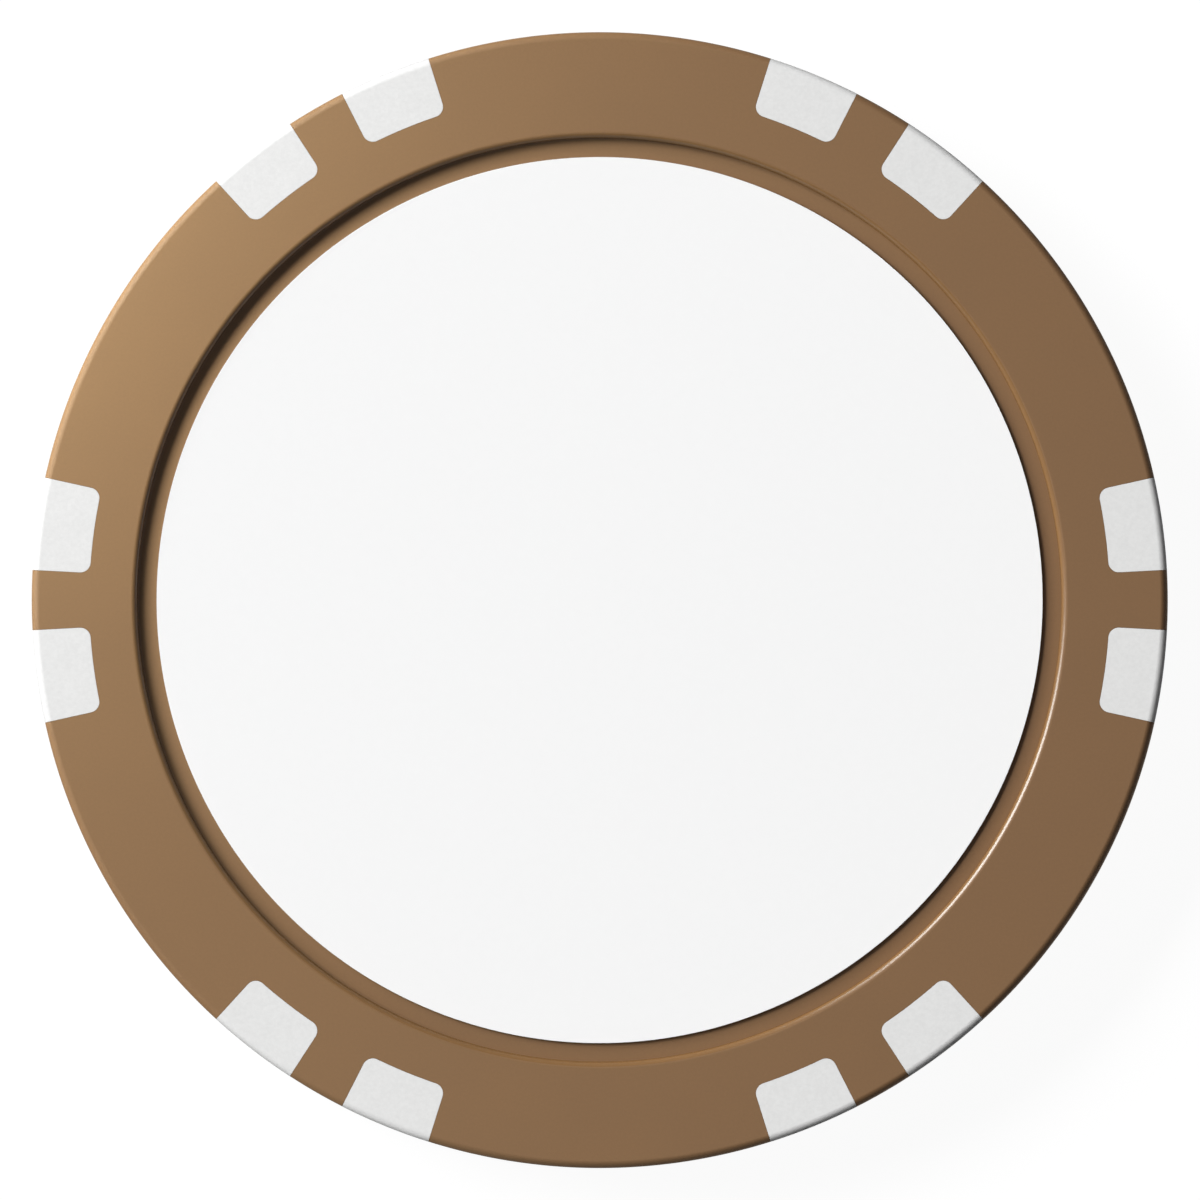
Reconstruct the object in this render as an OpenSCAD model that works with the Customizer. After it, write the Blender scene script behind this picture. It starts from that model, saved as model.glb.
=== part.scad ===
// Dealer button: two moulded shells welded round a steel slug, with edge spots keyed
// between the shells and a label in the recess of each face.
// Millimetres, +Z up. The origin is the centre of the face that the button lies on.

/* [Button] */
// Outside diameter
button_d = 60; // [54:1:80]
// Thickness over the rims
button_t = 5; // [4.6:0.1:8]
// Rounding of the outside edges
edge_r = 0.4; // [0.2:0.05:0.8]
// Width of the rim, from the outside to the label recess
rim_w = 5.6; // [5.2:0.05:8]

/* [Label recesses] */
// Depth of the recess in each face
recess_depth = 0.6; // [0.45:0.05:0.8]
// Rounding of the lip round each recess
lip_r = 0.35; // [0.1:0.05:0.4]

/* [Labels] */
// Thickness of the label film
film_t = 0.14; // [0.1:0.01:0.3]
// Thickness of the adhesive under the film
adhesive_t = 0.06; // [0.04:0.01:0.1]
// Gap between a label and the wall of its recess
label_gap = 1; // [0.5:0.1:2]
// How far the adhesive stops short of the edge of the film
adhesive_inset = 0.3; // [0.1:0.1:1]

/* [Edge spots] */
// Pairs of spots round the rim
spot_pairs = 6; // [4:1:8]
// Width of one spot, in degrees
spot_angle = 9.4; // [6:0.1:12]
// Gap between the two spots of a pair, in degrees
pair_gap = 6.1; // [5:0.1:9]
// Reach of a spot inwards from the outside
spot_depth = 3.05; // [2:0.05:3.4]
// Rounding of the inner corners of a spot
spot_corner_r = 0.55; // [0.3:0.05:0.9]
// Fit of a spot in the shells, on each side
spot_fit = 0.01; // [0.01:0.01:0.05]

/* [Spot keys] */
// Thickness of the key that the shells trap
key_t = 1.4; // [0.8:0.1:2]
// Reach of the key inwards from the spot
key_reach = 1.5; // [0.8:0.1:2]
// Overhang of the key beside the spot
key_overhang = 0.6; // [0.3:0.1:0.8]
// Distance of the key from the outside of the rim
key_setback = 1.1; // [0.8:0.1:1.5]

/* [Weight] */
// Thickness of the steel slug
slug_t = 1.6; // [1:0.1:2]
// Plastic left between the slug pocket and the spot keys
slug_margin = 3; // [2.2:0.1:4]
// Clearance round the slug
slug_side_clearance = 0.15; // [0.05:0.05:0.3]
// Clearance over the slug
slug_end_clearance = 0.1; // [0.05:0.05:0.2]

/* [Weld posts] */
// Posts that pass through the slug
post_count = 6; // [3:1:8]
// Diameter of a post
post_d = 4; // [2:0.1:6]
// Distance of the post centres from the pocket wall
post_inset = 8; // [5:0.5:12]
// Clearance of a post in the slug, on each side
post_clearance = 0.3; // [0.1:0.05:0.5]
// Depth of the socket that a post seats in
socket_depth = 0.5; // [0.3:0.1:0.6]
// Fit of a post in its socket, on each side
socket_fit = 0.05; // [0.02:0.01:0.1]

/* [Rim weld] */
// Width of the weld tongue
tongue_w = 0.8; // [0.5:0.1:1.2]
// Height of the weld tongue
tongue_h = 0.6; // [0.3:0.1:1]
// Fit of the tongue in its groove, on each side
tongue_fit = 0.05; // [0.02:0.01:0.1]
// Chamfer of each shell along the seam
seam_chamfer = 0.08; // [0.04:0.02:0.2]

/* [Hidden] */
$fn = 180;
far = 2 * button_d; // past everything, for cutting planes
lap = 0.5; // how far a union is carried into its neighbour

button_r = button_d / 2;
seam_z = button_t / 2;
recess_r = button_r - rim_w;

spot_inner_r = button_r - spot_depth;
spot_count = 2 * spot_pairs;
key_inner_r = spot_inner_r - key_reach;
key_outer_r = button_r - key_setback;
key_angle = spot_angle + swell(key_overhang);

pocket_r = key_inner_r - slug_margin;
pocket_h = slug_t + slug_end_clearance;
pocket_z = seam_z - pocket_h / 2;
slug_r = pocket_r - slug_side_clearance;
post_ring_r = pocket_r - post_inset;
post_h = pocket_h + socket_depth - socket_fit; // from the pocket floor
socket_top_z = pocket_z + pocket_h + socket_depth;
tongue_r = pocket_r + slug_margin / 2;

film_r = recess_r - label_gap;
adhesive_r = film_r - adhesive_inset;

brown = [0.51, 0.39, 0.28];
white = [0.88, 0.88, 0.87];
steel = [0.62, 0.63, 0.65];
label_white = [0.96, 0.96, 0.96];
clear_glue = [0.86, 0.85, 0.78];

function two_digits(n) = n < 10 ? str("0", n) : str(n);
function spot_name(i) = str("edge_spot_", two_digits(i + 1));
// Angle to add to a spot so that each of its sides moves out by the distance given
function swell(distance) = 2 * asin(distance / spot_inner_r);
// Direction of spot i: the spots of a pair stand either side of the pair's centre line
function spot_direction(i) =
    360 / spot_pairs * floor(i / 2) + (i % 2 == 0 ? -1 : 1) * (pair_gap + spot_angle) / 2;

// ---- outlines ----

// What a rounding takes off a square corner: the material lies towards +x and +y of the corner
module corner_waste(r) {
    difference() {
        translate([-lap, -lap]) square(r + lap);
        translate([r, r]) circle(r);
    }
}

// Half section of the button's rim, from the inner radius given to the outside
module rim_section(inner_r) {
    difference() {
        translate([inner_r, 0]) square([button_r - inner_r, button_t]);
        translate([button_r, 0]) mirror([1, 0]) corner_waste(edge_r);
        translate([button_r, button_t]) rotate(180) corner_waste(edge_r);
    }
}

// Part of a ring, centred on +x, with its two inner corners rounded
module ring_sector(inner_r, outer_r, angle, corner_r) {
    turn = asin(corner_r / (inner_r + corner_r)); // from the side to the corner's centre
    straight_r = sqrt(pow(inner_r + corner_r, 2) - pow(corner_r, 2)); // where the side starts
    sharp_sector(inner_r, outer_r, angle - 2 * turn);
    sharp_sector(straight_r, outer_r, angle);
    for (side = [-1, 1])
        rotate(side * (angle / 2 - turn)) translate([inner_r + corner_r, 0]) circle(corner_r);
}

module sharp_sector(inner_r, outer_r, angle) {
    reach = 2 * outer_r;
    intersection() {
        difference() {
            circle(outer_r);
            circle(inner_r);
        }
        polygon([[0, 0], [reach, -reach * tan(angle / 2)], [reach, reach * tan(angle / 2)]]);
    }
}

// ---- edge spots ----

// The room that one spot takes, on +x: a block through the whole rim and beyond it, and the
// key that locks it between the shells. Grown by a fit, it is the pocket that the spot lies in.
module spot_block(grow = 0) {
    translate([0, 0, -lap]) linear_extrude(button_t + 2 * lap)
        ring_sector(spot_inner_r - grow, button_r + lap, spot_angle + swell(grow), spot_corner_r + grow);
}

module spot_key(grow = 0) {
    translate([0, 0, seam_z - key_t / 2 - grow]) linear_extrude(key_t + 2 * grow)
        ring_sector(key_inner_r - grow, key_outer_r + grow, key_angle + swell(grow), spot_corner_r + grow);
}

module edge_spot(i) {
    color(white) rotate(spot_direction(i)) {
        intersection() {
            spot_block();
            rotate_extrude() rim_section(spot_inner_r - lap);
        }
        spot_key();
    }
}

module spot_pockets() {
    for (i = [0 : spot_count - 1]) rotate(spot_direction(i)) {
        spot_block(spot_fit);
        spot_key(spot_fit);
    }
}

// ---- shells ----

// Half section of one shell, lying on its outer face, from the axis to the seam's chamfer
module shell_section() {
    difference() {
        polygon([
            [0, recess_depth], [recess_r, recess_depth], [recess_r, 0],
            [button_r, 0], [button_r, seam_z - seam_chamfer], [button_r - seam_chamfer, seam_z],
            [pocket_r, seam_z], [pocket_r, pocket_z], [0, pocket_z]
        ]);
        translate([button_r, 0]) mirror([1, 0]) corner_waste(edge_r);
        translate([recess_r, 0]) corner_waste(lip_r);
    }
}

module tongue_section(fit = 0) {
    translate([tongue_r - tongue_w / 2 - fit, seam_z - lap])
        square([tongue_w + 2 * fit, tongue_h + lap + fit]);
}

module at_posts() {
    for (i = [0 : post_count - 1]) rotate(360 / post_count * i) translate([post_ring_r, 0]) children();
}

// Turns what lies on the lower face over onto the upper one
module turned_over() {
    translate([0, 0, button_t]) rotate([180, 0, 0]) children();
}

module lower_shell() {
    color(brown) difference() {
        union() {
            rotate_extrude() {
                shell_section();
                tongue_section();
            }
            at_posts() translate([0, 0, pocket_z - lap]) cylinder(h = post_h + lap, d = post_d);
        }
        spot_pockets();
    }
}

module upper_shell() {
    color(brown) difference() {
        turned_over() rotate_extrude() shell_section();
        rotate_extrude() tongue_section(tongue_fit);
        at_posts() translate([0, 0, seam_z]) cylinder(h = socket_top_z - seam_z, d = post_d + 2 * socket_fit);
        spot_pockets();
    }
}

// ---- weight ----

module weight_slug() {
    color(steel) translate([0, 0, pocket_z]) difference() {
        cylinder(h = slug_t, r = slug_r);
        at_posts() translate([0, 0, -lap]) cylinder(h = slug_t + 2 * lap, d = post_d + 2 * post_clearance);
    }
}

// ---- labels, as they lie in the lower recess ----

module label_adhesive() {
    color(clear_glue) translate([0, 0, recess_depth - adhesive_t]) cylinder(h = adhesive_t, r = adhesive_r);
}

module label_film() {
    color(label_white) translate([0, 0, recess_depth - adhesive_t - film_t]) cylinder(h = film_t, r = film_r);
}

lower_shell();
upper_shell();
weight_slug();
for (i = [0 : spot_count - 1])
    edge_spot(i);
turned_over() label_adhesive();  // top_adhesive
turned_over() label_film();  // top_label
label_adhesive();  // bottom_adhesive
label_film();  // bottom_label
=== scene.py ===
import math

import bpy
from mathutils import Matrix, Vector


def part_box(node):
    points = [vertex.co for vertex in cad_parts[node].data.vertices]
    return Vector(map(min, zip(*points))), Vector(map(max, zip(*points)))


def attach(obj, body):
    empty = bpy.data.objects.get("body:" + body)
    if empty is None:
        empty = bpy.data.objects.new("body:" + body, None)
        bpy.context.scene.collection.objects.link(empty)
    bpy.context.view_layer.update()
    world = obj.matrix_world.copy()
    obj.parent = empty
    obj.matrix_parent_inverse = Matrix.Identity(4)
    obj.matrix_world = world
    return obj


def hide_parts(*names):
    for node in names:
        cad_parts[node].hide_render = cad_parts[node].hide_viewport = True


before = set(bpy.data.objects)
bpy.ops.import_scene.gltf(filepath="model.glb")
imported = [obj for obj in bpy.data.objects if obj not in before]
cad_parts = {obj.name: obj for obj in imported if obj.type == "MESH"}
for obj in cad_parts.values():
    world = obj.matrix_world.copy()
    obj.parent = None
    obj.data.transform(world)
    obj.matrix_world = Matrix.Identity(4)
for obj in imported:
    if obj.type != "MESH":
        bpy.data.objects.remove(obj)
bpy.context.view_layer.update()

# Dealer button: two welded brown shells with white edge spots, a label in the recess of each face.
# The outline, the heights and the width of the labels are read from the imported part. The other sizes,
# which its boxes don't show, are given here as the part has them.

mm = 0.001


def radiusOf(node):
    low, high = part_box(node)
    return min(high.x, high.y, -low.x, -low.y)  # inside the box on every side


def heightsOf(node):
    low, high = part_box(node)
    return low.z, high.z


buttonR = radiusOf("lower_shell")
seamH, buttonH = heightsOf("upper_shell")
labelR = radiusOf("top_label")
labelGap = 1 * mm                        # between a label and the wall of its recess
recessR = labelR + labelGap
recessH = heightsOf("top_adhesive")[0]   # floor of the upper recess
slugH = heightsOf("weight_slug")
print("frame read: button", round(2 * buttonR / mm, 2), "mm across,", round(buttonH / mm, 2), "mm thick")


def deselectAll():
    if bpy.context.mode != "OBJECT":
        bpy.ops.object.mode_set(mode="OBJECT")
    bpy.ops.object.select_all(action="DESELECT")


def makeActive(piece):
    deselectAll()
    piece.select_set(True)
    bpy.context.view_layer.objects.active = piece


def applyPlace():
    bpy.ops.object.transform_apply(location=True, rotation=True, scale=True)


def newPiece(name):
    # names what was just added and puts its place into its mesh
    piece = bpy.context.object
    piece.name = name
    piece.data.name = name
    applyPlace()
    return piece


def pickFaces(piece, wanted):
    # selects the faces for which wanted(centre, normal) is true, and goes into face mode
    bpy.ops.object.mode_set(mode="EDIT")
    bpy.ops.mesh.select_mode(type="FACE")
    bpy.ops.mesh.select_all(action="DESELECT")
    bpy.ops.object.mode_set(mode="OBJECT")
    for face in piece.data.polygons:
        face.select = wanted(face.center, face.normal)
    bpy.ops.object.mode_set(mode="EDIT")


def pickEdges(piece, wanted):
    # selects the edges for which wanted(one end, other end) is true, and goes into edge mode
    bpy.ops.object.mode_set(mode="EDIT")
    bpy.ops.mesh.select_mode(type="EDGE")
    bpy.ops.mesh.select_all(action="DESELECT")
    bpy.ops.object.mode_set(mode="OBJECT")
    points = piece.data.vertices
    for edge in piece.data.edges:
        a, b = (points[i].co for i in edge.vertices)
        edge.select = wanted(a, b)
    bpy.ops.object.mode_set(mode="EDIT")


pickSettings = {
    "closeEnough": 0.004 * mm,   # for a point that is looked for by its place
    "level": 0.9,                # least upright part of the normal of a face that looks up or down
}


def near(a, b):
    return abs(a - b) < pickSettings["closeEnough"]


def facesUp(centre, normal):
    return normal.z > pickSettings["level"]


def facesDown(centre, normal):
    return normal.z < -pickSettings["level"]


def ringEdge(radius, height=None):
    # test for the level edges at this radius, at one height or at any
    def test(a, b):
        onRadius = all(near(math.hypot(p.x, p.y), radius) for p in (a, b))
        return onRadius and near(a.z, b.z) and (height is None or near(a.z, height))
    return test


def bevelEdges(piece, wanted, width, steps):
    pickEdges(piece, wanted)
    bpy.ops.mesh.bevel(offset_type="OFFSET", offset=width, segments=steps, affect="EDGES",
                       clamp_overlap=False)
    bpy.ops.object.mode_set(mode="OBJECT")


def applyBoolean(piece, cutter, operation):
    makeActive(piece)
    bpy.ops.object.modifier_add(type="BOOLEAN")
    cut = piece.modifiers[-1]
    cut.operation = operation
    cut.solver = "EXACT"
    cut.object = cutter
    bpy.ops.object.modifier_apply(modifier=cut.name)


def smoothFinish(piece, degrees=35):
    # smooth over the roundings, crisp at real corners, and flat faces kept flat
    makeActive(piece)
    bpy.ops.object.shade_smooth_by_angle(angle=math.radians(degrees))
    bpy.ops.object.modifier_add(type="WEIGHTED_NORMAL")
    piece.modifiers[-1].keep_sharp = True
    bpy.ops.object.modifier_apply(modifier=piece.modifiers[-1].name)


def joinAll(pieces, name):
    deselectAll()
    for piece in pieces:
        piece.select_set(True)
    bpy.context.view_layer.objects.active = pieces[0]
    bpy.ops.object.join()
    pieces[0].name = name
    return pieces[0]


def remove(piece):
    makeActive(piece)
    bpy.ops.object.delete()


def turnedCopy(piece, name, turn, lift=0):
    # a copy with its own mesh, turned and then lifted
    makeActive(piece)
    bpy.ops.object.duplicate()
    copy = bpy.context.object
    copy.rotation_euler = turn
    copy.location = (0, 0, lift)
    applyPlace()
    copy.name = name
    copy.data.name = name
    return copy


spotSettings = {
    "pairs": 6,
    "width": math.radians(9.4),      # of one spot
    "pairGap": math.radians(6.1),    # between the two spots of a pair
    "depth": 3.05 * mm,              # inwards from the outside
    "cornerR": 0.55 * mm,            # inner corners
    "edgeR": 0.4 * mm,               # outside edges, as on the shells
    "edgeSteps": 8,
    "fit": 0.01 * mm,                # to the shells, on each side
    "keyHeight": 1.4 * mm,
    "keyReach": 1.5 * mm,            # inwards from the spot
    "keyOverhang": 0.6 * mm,         # beside the spot
    "keySetback": 1.1 * mm,          # from the outside of the rim
    "toolRun": 1 * mm,               # of the pocket tool past the outside and both faces
    "innerSteps": 16,
    "cornerSteps": 8,
    "outerSteps": 24,
    "merge": 0.002 * mm,             # where the last arc meets the first
}


def sectorPrism(name, s, innerR, outerR, width, cornerR, lowZ, highZ):
    # part of a ring, centred on +X, with round inner corners: drawn with spins, filled and extruded
    turn = math.asin(cornerR / (innerR + cornerR))
    cornerAt = innerR + cornerR
    sideR = math.sqrt(cornerAt ** 2 - cornerR ** 2)

    def polar(radius, angle):
        return (radius * math.cos(angle), radius * math.sin(angle), lowZ)

    # a small plane, merged to the one point that the outline is drawn from
    bpy.ops.mesh.primitive_plane_add(size=1 * mm, location=polar(innerR, -width / 2 + turn))
    piece = newPiece(name)
    bpy.ops.object.mode_set(mode="EDIT")
    bpy.ops.mesh.select_mode(type="VERT")
    bpy.ops.mesh.select_all(action="SELECT")
    bpy.ops.mesh.merge(type="CENTER")
    middle = (0, 0, 0)
    upper = polar(cornerAt, width / 2 - turn)
    lower = polar(cornerAt, -width / 2 + turn)
    quarter = math.pi / 2 - turn

    def arc(centre, angle, steps):
        # the operator turns clockwise
        bpy.ops.mesh.spin(steps=steps, angle=-angle, center=centre, axis=(0, 0, 1))

    def goTo(fromPoint, toPoint):
        step = [b - a for a, b in zip(fromPoint, toPoint)]
        bpy.ops.mesh.extrude_region_move(TRANSFORM_OT_translate={"value": step})

    arc(middle, width - 2 * turn, s["innerSteps"])
    arc(upper, -quarter, s["cornerSteps"])
    goTo(polar(sideR, width / 2), polar(outerR, width / 2))
    arc(middle, -width, s["outerSteps"])
    goTo(polar(outerR, -width / 2), polar(sideR, -width / 2))
    arc(lower, -quarter, s["cornerSteps"])   # back to the start
    bpy.ops.mesh.select_all(action="SELECT")
    bpy.ops.mesh.remove_doubles(threshold=s["merge"])
    bpy.ops.mesh.edge_face_add()
    bpy.ops.mesh.extrude_region_move(TRANSFORM_OT_translate={"value": (0, 0, highZ - lowZ)})
    bpy.ops.mesh.select_all(action="SELECT")
    bpy.ops.mesh.normals_make_consistent(inside=False)
    bpy.ops.object.mode_set(mode="OBJECT")
    return piece


def spotBody(name, s, grow, past):
    # a spot with its key; with a fit and a run past the rim it is the tool that cuts its pocket
    innerR = buttonR - s["depth"]
    swell = 2 * math.asin(grow / innerR)
    block = sectorPrism(name, s, innerR - grow, buttonR + past, s["width"] + swell,
                        s["cornerR"] + grow, -past, buttonH + past)
    if not past:
        bevelEdges(block, ringEdge(buttonR), s["edgeR"], s["edgeSteps"])
    keyWidth = s["width"] + 2 * math.asin(s["keyOverhang"] / innerR) + swell
    halfKey = s["keyHeight"] / 2 + grow
    key = sectorPrism(name + "Key", s, innerR - s["keyReach"] - grow, buttonR - s["keySetback"] + grow,
                      keyWidth, s["cornerR"] + grow, buttonH / 2 - halfKey, buttonH / 2 + halfKey)
    applyBoolean(block, key, "UNION")
    remove(key)
    return block


def spotDirections(s):
    half = (s["pairGap"] + s["width"]) / 2
    for pair in range(s["pairs"]):
        for side in (-1, 1):
            yield 2 * math.pi / s["pairs"] * pair + side * half


firstSpot = spotBody("firstSpot", spotSettings, 0, 0)
smoothFinish(firstSpot)
pocketTool = spotBody("pocketTool", spotSettings, spotSettings["fit"], spotSettings["toolRun"])
edgeSpots = []
pocketTools = []
for number, direction in enumerate(spotDirections(spotSettings), 1):
    edgeSpots.append(turnedCopy(firstSpot, f"edgeSpot{number:02d}", (0, 0, direction)))
    pocketTools.append(turnedCopy(pocketTool, f"pocketTool{number:02d}", (0, 0, direction)))
remove(firstSpot)
remove(pocketTool)
allPockets = joinAll(pocketTools, "allPockets")
print("edge spots:", len(edgeSpots))


shellSettings = {
    "sides": 360,
    "edgeR": 0.4 * mm,
    "edgeSteps": 8,
    "lipR": 0.35 * mm,           # round the recess
    "lipSteps": 8,
    "seamChamfer": 0.08 * mm,
    "pocketR": 22.45 * mm,       # pocket of the slug
    "overSlug": 0.1 * mm,        # clearance over the slug
    "tongueR": 23.95 * mm,
    "tongueWidth": 0.8 * mm,
    "tongueHeight": 0.6 * mm,
    "tongueFit": 0.05 * mm,
    "posts": 6,
    "postSides": 64,
    "postR": 2 * mm,
    "postRing": 14.45 * mm,      # of the post centres
    "socketDepth": 0.5 * mm,
    "socketFit": 0.05 * mm,
    "root": 0.5 * mm,            # how deep the tongue and the posts start in the lower shell
}
pocketFloor = slugH[0]
pocketRoof = slugH[1] + shellSettings["overSlug"]


def sink(piece, wanted, margin, step):
    # insets the faces wanted by a margin and moves what is left of them up or down
    pickFaces(piece, wanted)
    bpy.ops.mesh.inset(thickness=margin)
    bpy.ops.mesh.extrude_region_move(TRANSFORM_OT_translate={"value": (0, 0, step)})
    bpy.ops.object.mode_set(mode="OBJECT")


def shellBlank(name, s):
    # the upper shell: a disc, sunk on both sides, with its edges rounded
    height = buttonH - seamH
    bpy.ops.mesh.primitive_cylinder_add(vertices=s["sides"], radius=buttonR, depth=height,
                                        location=(0, 0, seamH + height / 2))
    piece = newPiece(name)
    sink(piece, facesUp, buttonR - recessR, recessH - buttonH)
    sink(piece, facesDown, buttonR - s["pocketR"], pocketRoof - seamH)
    bevelEdges(piece, ringEdge(buttonR, buttonH), s["edgeR"], s["edgeSteps"])
    bevelEdges(piece, ringEdge(recessR, buttonH), s["lipR"], s["lipSteps"])
    bevelEdges(piece, ringEdge(buttonR, seamH), s["seamChamfer"], 1)
    return piece


upperShell = shellBlank("upperShell", shellSettings)
lowerShell = turnedCopy(upperShell, "lowerShell", (math.pi, 0, 0), buttonH)


def weldTool(name, s, fit):
    # the ring of the weld tongue; grown by its fit it cuts the groove
    inner = s["tongueR"] - s["tongueWidth"] / 2 - fit
    outer = s["tongueR"] + s["tongueWidth"] / 2 + fit
    bpy.ops.mesh.primitive_cylinder_add(vertices=s["sides"], radius=outer, depth=s["root"],
                                        location=(0, 0, seamH - s["root"] / 2))
    piece = newPiece(name)
    for side in (facesUp, facesDown):
        pickFaces(piece, side)
        bpy.ops.mesh.inset(thickness=outer - inner)
        bpy.ops.mesh.delete(type="FACE")
        bpy.ops.object.mode_set(mode="OBJECT")
    pickEdges(piece, ringEdge(inner))
    bpy.ops.mesh.bridge_edge_loops()
    bpy.ops.object.mode_set(mode="OBJECT")
    pickFaces(piece, lambda centre, normal: near(centre.z, seamH))
    bpy.ops.transform.translate(value=(0, 0, s["tongueHeight"] + fit))
    bpy.ops.mesh.select_all(action="SELECT")
    bpy.ops.mesh.normals_make_consistent(inside=False)
    bpy.ops.object.mode_set(mode="OBJECT")
    return piece


def postTools(name, s, radius, lowZ, highZ):
    posts = []
    for number in range(s["posts"]):
        angle = 2 * math.pi / s["posts"] * number
        place = (s["postRing"] * math.cos(angle), s["postRing"] * math.sin(angle), (lowZ + highZ) / 2)
        bpy.ops.mesh.primitive_cylinder_add(vertices=s["postSides"], radius=radius, depth=highZ - lowZ,
                                            location=place)
        posts.append(newPiece(name + str(number)))
    return joinAll(posts, name)


def finishShells(s):
    socketTop = pocketRoof + s["socketDepth"]
    tools = (
        (lowerShell, weldTool("tongue", s, 0), "UNION"),
        (upperShell, weldTool("groove", s, s["tongueFit"]), "DIFFERENCE"),
        (lowerShell, postTools("posts", s, s["postR"], pocketFloor - s["root"],
                               socketTop - s["socketFit"]), "UNION"),
        (upperShell, postTools("sockets", s, s["postR"] + s["socketFit"], seamH, socketTop), "DIFFERENCE"),
    )
    for shell, tool, operation in tools:
        applyBoolean(shell, tool, operation)
        remove(tool)
    for shell in (lowerShell, upperShell):
        applyBoolean(shell, allPockets, "DIFFERENCE")
        smoothFinish(shell)
    remove(allPockets)


finishShells(shellSettings)
print("shells: tongue, groove, posts, sockets and spot pockets done")


labelSettings = {
    "sides": 360,
    "edge": 0.01 * mm,     # softened cut edge of the film
    "edgeSteps": 2,
}


def labelDisc(name, node, s):
    low, high = heightsOf(node)
    bpy.ops.mesh.primitive_cylinder_add(vertices=s["sides"], radius=labelR, depth=high - low,
                                        location=(0, 0, (low + high) / 2))
    piece = newPiece(name)
    bevelEdges(piece, ringEdge(labelR), s["edge"], s["edgeSteps"])
    smoothFinish(piece)
    return piece


topLabel = labelDisc("topLabel", "top_label", labelSettings)
bottomLabel = labelDisc("bottomLabel", "bottom_label", labelSettings)
print("labels done")


def newMaterial(name):
    material = bpy.data.materials.new(name)
    material.use_nodes = True
    tree = material.node_tree
    return material, tree, tree.nodes["Principled BSDF"]


def objectPlace(tree):
    return tree.nodes.new("ShaderNodeTexCoord").outputs["Object"]


def noiseOn(tree, place, scale, detail):
    noise = tree.nodes.new("ShaderNodeTexNoise")
    noise.inputs["Scale"].default_value = scale
    noise.inputs["Detail"].default_value = detail
    tree.links.new(place, noise.inputs["Vector"])
    return noise.outputs["Fac"]


def mapped(tree, value, low, high, fromLow=0.3, fromHigh=0.7):
    # noise keeps mostly between 0.3 and 0.7
    spread = tree.nodes.new("ShaderNodeMapRange")
    spread.inputs["From Min"].default_value = fromLow
    spread.inputs["From Max"].default_value = fromHigh
    spread.inputs["To Min"].default_value = low
    spread.inputs["To Max"].default_value = high
    tree.links.new(value, spread.inputs["Value"])
    return spread.outputs["Result"]


def combined(tree, operation, first, second):
    both = tree.nodes.new("ShaderNodeMath")
    both.operation = operation
    for socket, value in zip(both.inputs, (first, second)):
        tree.links.new(value, socket)
    return both.outputs["Value"]


def shaded(tree, colour, factor):
    # a colour made lighter or darker by a factor that changes over the surface
    scale = tree.nodes.new("ShaderNodeVectorMath")
    scale.operation = "SCALE"
    scale.inputs[0].default_value = colour
    tree.links.new(factor, scale.inputs["Scale"])
    return scale.outputs["Vector"]


def bumpFrom(tree, height, strength, distance):
    bump = tree.nodes.new("ShaderNodeBump")
    bump.inputs["Strength"].default_value = strength
    bump.inputs["Distance"].default_value = distance
    tree.links.new(height, bump.inputs["Height"])
    return bump.outputs["Normal"]


def polishedLip(tree, place, roughness, s):
    # the roughness given, but polished on the lips of the recesses
    flat = tree.nodes.new("ShaderNodeVectorMath")
    flat.operation = "MULTIPLY"
    flat.inputs[1].default_value = (1, 1, 0)
    tree.links.new(place, flat.inputs[0])
    reach = tree.nodes.new("ShaderNodeVectorMath")
    reach.operation = "LENGTH"
    tree.links.new(flat.outputs["Vector"], reach.inputs[0])
    radius = reach.outputs["Value"]
    inner, outer = (recessR + edge for edge in s["lipReach"])
    inward, outward = s["lipFade"]
    finish = tree.nodes.new("ShaderNodeMix")
    tree.links.new(combined(tree, "MULTIPLY",
                            mapped(tree, radius, 0, 1, inner - inward, inner),
                            mapped(tree, radius, 1, 0, outer, outer + outward)), finish.inputs["Factor"])
    tree.links.new(roughness, finish.inputs["A"])
    finish.inputs["B"].default_value = s["polished"]
    return finish.outputs["Result"]


def mouldedPlastic(name, s):
    # softly mottled and finely grained
    material, tree, shader = newMaterial(name)
    place = objectPlace(tree)
    mottle = noiseOn(tree, place, s["mottleScale"], s["mottleDetail"])
    grain = noiseOn(tree, place, s["grainScale"], s["grainDetail"])
    tone = combined(tree, "MULTIPLY",
                    mapped(tree, mottle, 1 - s["mottle"], 1 + s["mottle"]),
                    mapped(tree, grain, 1 - s["grain"], 1 + s["grain"]))
    tree.links.new(shaded(tree, s["colour"], tone), shader.inputs["Base Color"])
    roughness = mapped(tree, mottle, *s["roughness"])
    if "polished" in s:
        roughness = polishedLip(tree, place, roughness, s)
    tree.links.new(roughness, shader.inputs["Roughness"])
    tree.links.new(bumpFrom(tree, grain, s["bump"], s["bumpDepth"]), shader.inputs["Normal"])
    shader.inputs["IOR"].default_value = s["ior"]
    return material


brownSettings = {
    "colour": (0.1645, 0.082, 0.0292),
    "mottleScale": 160,          # patches about 6 mm across
    "mottleDetail": 3,
    "mottle": 0.025,             # lighter and darker by this share
    "grainScale": 7000,          # grain of about 0.14 mm
    "grainDetail": 2,
    "grain": 0.03,
    "roughness": (0.68, 0.72),
    "polished": 0.24,            # roughness of the lips of the recesses
    "lipReach": (-0.03 * mm, 0.24 * mm),   # polished from here to here, from the wall of the recess
    "lipFade": (0.05 * mm, 0.12 * mm),     # and fading out inwards and outwards
    "bump": 0.5,
    "bumpDepth": 0.003 * mm,
    "ior": 1.5,
}

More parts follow.
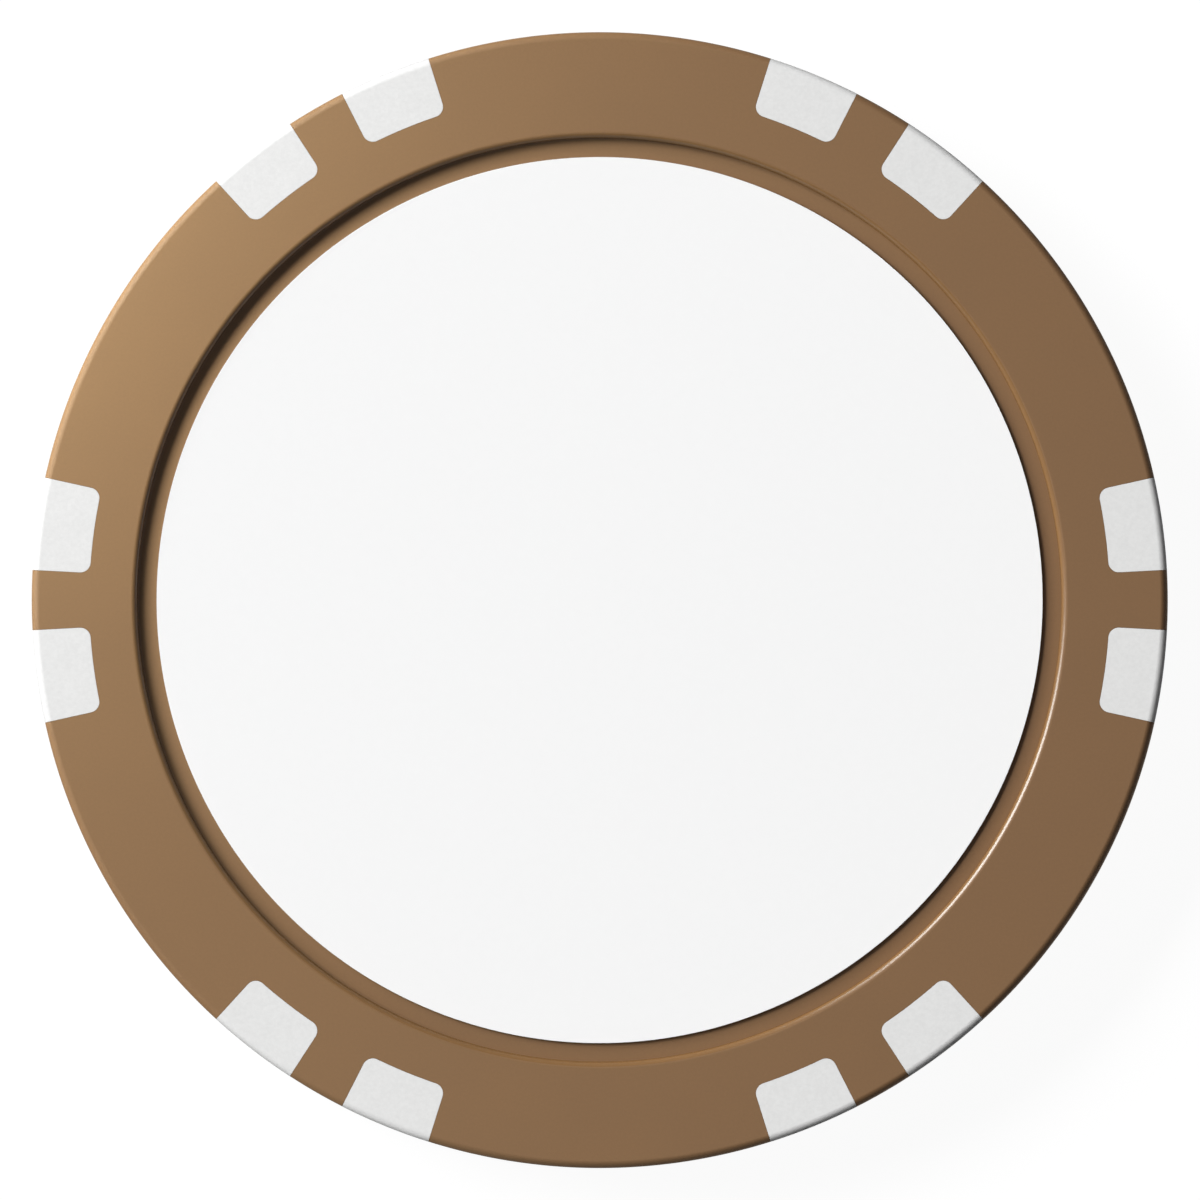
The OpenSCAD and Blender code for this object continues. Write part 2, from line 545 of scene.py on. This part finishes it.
whiteSettings = {
    "colour": (0.74, 0.74, 0.734),
    "mottleScale": 900,
    "mottleDetail": 4,
    "mottle": 0.012,
    "grainScale": 5500,
    "grainDetail": 2,
    "grain": 0.03,
    "roughness": (0.68, 0.76),
    "bump": 0.5,
    "bumpDepth": 0.004 * mm,
    "ior": 1.46,
}

filmSettings = {
    "colour": (0.92, 0.92, 0.92),
    "fibreScale": 2500,
    "fibreDetail": 3,
    "fibre": 0.003,
    "roughness": (0.78, 0.82),
    "ior": 1.35,
}


def labelFilm(s):
    material, tree, shader = newMaterial("labelFilm")
    fibre = noiseOn(tree, objectPlace(tree), s["fibreScale"], s["fibreDetail"])
    tone = mapped(tree, fibre, 1 - s["fibre"], 1 + s["fibre"])
    tree.links.new(shaded(tree, s["colour"], tone), shader.inputs["Base Color"])
    tree.links.new(mapped(tree, fibre, *s["roughness"]), shader.inputs["Roughness"])
    shader.inputs["IOR"].default_value = s["ior"]
    return material


adhesiveSettings = {
    "colour": (0.70, 0.68, 0.60),
    "cloudScale": 600,
    "cloudDetail": 2,
    "cloud": 0.05,
    "roughness": 0.35,
}


def adhesiveFilm(s):
    material, tree, shader = newMaterial("adhesiveFilm")
    cloud = noiseOn(tree, objectPlace(tree), s["cloudScale"], s["cloudDetail"])
    tone = mapped(tree, cloud, 1 - s["cloud"], 1 + s["cloud"])
    tree.links.new(shaded(tree, s["colour"], tone), shader.inputs["Base Color"])
    shader.inputs["Roughness"].default_value = s["roughness"]
    return material


steelSettings = {
    "colour": (0.55, 0.56, 0.57),
    "streakScale": (60, 4000, 60),   # long in the rolling direction
    "streakDetail": 3,
    "streak": (0.9, 1.05),
    "roughness": (0.28, 0.42),
}


def punchedSteel(s):
    material, tree, shader = newMaterial("punchedSteel")
    rolled = tree.nodes.new("ShaderNodeMapping")
    rolled.inputs["Scale"].default_value = s["streakScale"]
    tree.links.new(objectPlace(tree), rolled.inputs["Vector"])
    streak = noiseOn(tree, rolled.outputs["Vector"], 1, s["streakDetail"])
    tone = mapped(tree, streak, *s["streak"])
    tree.links.new(shaded(tree, s["colour"], tone), shader.inputs["Base Color"])
    tree.links.new(mapped(tree, streak, *s["roughness"]), shader.inputs["Roughness"])
    shader.inputs["Metallic"].default_value = 1
    return material


def dress(piece, material):
    piece.data.materials.clear()
    piece.data.materials.append(material)


brown = mouldedPlastic("brownSatin", brownSettings)
white = mouldedPlastic("whiteMatt", whiteSettings)
film = labelFilm(filmSettings)
glue = adhesiveFilm(adhesiveSettings)
steel = punchedSteel(steelSettings)

for shell in (lowerShell, upperShell):
    dress(shell, brown)
for spot in edgeSpots:
    dress(spot, white)
for label in (topLabel, bottomLabel):
    dress(label, film)
for node, material in (("weight_slug", steel), ("top_adhesive", glue), ("bottom_adhesive", glue)):
    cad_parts[node].material_slots[0].material = material   # these keep their own shapes
print("finishes done")


def stands(piece, node):
    # the piece takes the node's place on the button
    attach(piece, "root")
    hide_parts(node)


stands(lowerShell, "lower_shell")
stands(upperShell, "upper_shell")
for number, spot in enumerate(edgeSpots, 1):
    stands(spot, f"edge_spot_{number:02d}")
stands(topLabel, "top_label")
stands(bottomLabel, "bottom_label")


stageSettings = {
    "floorSize": 6.0,
    "floorDrop": 0.01 * mm,   # below the button, so that the two don't share a plane
    "floorRoughness": 0.9,
    "floorSeen": 0.8,
    "floorBounce": 0.25,      # how pale the floor is for the light that it sends back
    "seenWhite": 0.91,        # how much of the floor, as seen, is plain white
    "floorGlow": 1.045,
    "ambient": 0.02,
    "sheen": 0.3,             # how bright the room is in what the plastic reflects
}


def whiteFloor(s):
    deselectAll()
    bpy.ops.mesh.primitive_plane_add(size=s["floorSize"], location=(0, 0, -s["floorDrop"]))
    floor = newPiece("floor")
    material, tree, shader = newMaterial("paleFloor")
    ray = tree.nodes.new("ShaderNodeLightPath").outputs
    tone = mapped(tree, ray["Is Diffuse Ray"], s["floorSeen"], s["floorBounce"], 0, 1)
    tree.links.new(tone, shader.inputs["Base Color"])
    shader.inputs["Roughness"].default_value = s["floorRoughness"]
    shader.inputs["Specular IOR Level"].default_value = 0
    glow = tree.nodes.new("ShaderNodeEmission")
    glow.inputs["Color"].default_value = (1, 1, 1, 1)
    glow.inputs["Strength"].default_value = s["floorGlow"]
    clear = combined(tree, "MAXIMUM", ray["Is Glossy Ray"], ray["Is Transmission Ray"])
    seen = combined(tree, "MAXIMUM", ray["Is Camera Ray"], clear)
    mix = tree.nodes.new("ShaderNodeMixShader")
    tree.links.new(mapped(tree, seen, 0, s["seenWhite"], 0, 1), mix.inputs["Fac"])
    tree.links.new(shader.outputs["BSDF"], mix.inputs[1])
    tree.links.new(glow.outputs["Emission"], mix.inputs[2])
    tree.links.new(mix.outputs["Shader"], tree.nodes["Material Output"].inputs["Surface"])
    dress(floor, material)


def paleWorld(s):
    world = bpy.data.worlds.new("paleRoom")
    bpy.context.scene.world = world
    world.use_nodes = True
    tree = world.node_tree
    sky = tree.nodes["Background"]
    sky.inputs["Color"].default_value = (1, 1, 1, 1)
    ray = tree.nodes.new("ShaderNodeLightPath").outputs
    plain = combined(tree, "MAXIMUM", ray["Is Camera Ray"], ray["Is Transmission Ray"])
    level = mapped(tree, ray["Is Glossy Ray"], s["ambient"], s["sheen"], 0, 1)
    tree.links.new(combined(tree, "MAXIMUM", plain, level), sky.inputs["Strength"])


def addLamp(name, place, target, width, height, power):
    bpy.ops.object.light_add(type="AREA", location=place)
    lamp = bpy.context.object
    lamp.name = name
    lamp.rotation_euler = (Vector(target) - Vector(place)).to_track_quat("-Z", "Y").to_euler()
    lamp.data.shape = "ELLIPSE"
    lamp.data.size = width
    lamp.data.size_y = height
    lamp.data.energy = power
    lamp.visible_camera = False
    return lamp


def linkLight(lamp, pieces, state):
    # INCLUDE: the lamp lights these pieces only, EXCLUDE: it lights everything else
    chosen = bpy.data.collections.new(lamp.name + "Pieces")
    for piece in pieces:
        chosen.objects.link(piece)
    for entry in chosen.collection_objects:
        entry.light_linking.link_state = state
    lamp.light_linking.receiver_collection = chosen


# each part of the key light: its height, its size across and up and down, its power
keySettings = {
    "direction": math.radians(151),
    "distance": 2.8,
    "upper": (math.radians(39), (2.1, 0.78), 84.3),
    "lower": (math.radians(22), (2.1, 1.0), 76),     # not for the white spots, whose walls it would bleach
    "high": (math.radians(56), (2.1, 0.78), 31.2),   # for the white spots only
}


def keyLight(s, part):
    # one part of a broad soft window
    height, size, power = s[part]
    flat = s["distance"] * math.cos(height)
    place = (flat * math.cos(s["direction"]), flat * math.sin(s["direction"]),
             buttonH + s["distance"] * math.sin(height))
    return addLamp(part + "KeyLight", place, (0, 0, buttonH), *size, power)


# small low lamps close to the rim, one on the key's side and a weak one lower left: they lift the rim
# there and die away inwards
rimLampSettings = {
    "reach": 55 * mm,             # from the button's axis
    "above": 19 * mm,             # over the button's face
    "aim": 25 * mm,               # where it looks, from the axis
    "size": (60 * mm, 13 * mm),   # along the rim, and up and down
    "shellTint": (1, 1.15, 1.08),
    "spotTint": (1, 1, 1),
    # direction, power on the shells and on the spots
    "key": (math.radians(146), 0.0275, 0.004),
    "low": (math.radians(236), 0.0035, 0.0009),
}


def rimLamp(name, direction, s, power, tint, pieces):
    # lights only the pieces named
    across = (math.cos(direction), math.sin(direction))
    place = (s["reach"] * across[0], s["reach"] * across[1], buttonH + s["above"])
    target = (s["aim"] * across[0], s["aim"] * across[1], buttonH)
    lamp = addLamp(name, place, target, *s["size"], power)
    lamp.data.color = tint
    linkLight(lamp, pieces, "INCLUDE")


def rimLamps(s, side):
    direction, onShells, onSpots = s[side]
    rimLamp(side + "RimLampShells", direction, s, onShells, s["shellTint"], (upperShell, lowerShell))
    rimLamp(side + "RimLampSpots", direction, s, onSpots, s["spotTint"], edgeSpots)


# a broad pale card overhead, seen only as a sheen on the plastic
cardSettings = {
    "height": 1.5,
    "size": 4.0,
    "power": 11,
}


def sheenCard(s):
    card = addLamp("sheenCard", (0, 0, s["height"]), (0, 0, 0), s["size"], s["size"], s["power"])
    card.visible_diffuse = False


cameraSettings = {
    "lens": 1400,
    "sensor": 36,
    "frameWidth": 63.35 * mm,        # what the picture is wide, at the button
    "tilt": math.radians(1),         # from straight above,
    "towards": math.radians(-30),    # in this direction
    "aim": (0.03 * mm, 0),
    "clip": (0.1, 20),
}


def addCamera(s):
    distance = s["frameWidth"] * s["lens"] / s["sensor"]
    backX = math.sin(s["tilt"]) * math.cos(s["towards"])
    backY = math.sin(s["tilt"]) * math.sin(s["towards"])
    backZ = math.cos(s["tilt"])
    place = (s["aim"][0] + distance * backX, s["aim"][1] + distance * backY, buttonH + distance * backZ)
    turned = (-math.asin(backY), math.atan2(backX, backZ), 0)   # the picture's top stays towards +Y
    bpy.ops.object.camera_add(location=place, rotation=turned)
    camera = bpy.context.object
    camera.data.lens = s["lens"]
    camera.data.sensor_width = s["sensor"]
    camera.data.clip_start, camera.data.clip_end = s["clip"]
    camera.data.dof.use_dof = False
    bpy.context.scene.camera = camera


whiteFloor(stageSettings)
paleWorld(stageSettings)
keyLight(keySettings, "upper")
linkLight(keyLight(keySettings, "lower"), edgeSpots, "EXCLUDE")
linkLight(keyLight(keySettings, "high"), edgeSpots, "INCLUDE")
rimLamps(rimLampSettings, "key")
rimLamps(rimLampSettings, "low")
sheenCard(cardSettings)
addCamera(cameraSettings)
bpy.context.scene.view_settings.view_transform = "Standard"
print("floor, light and camera set")

bpy.context.view_layer.update()
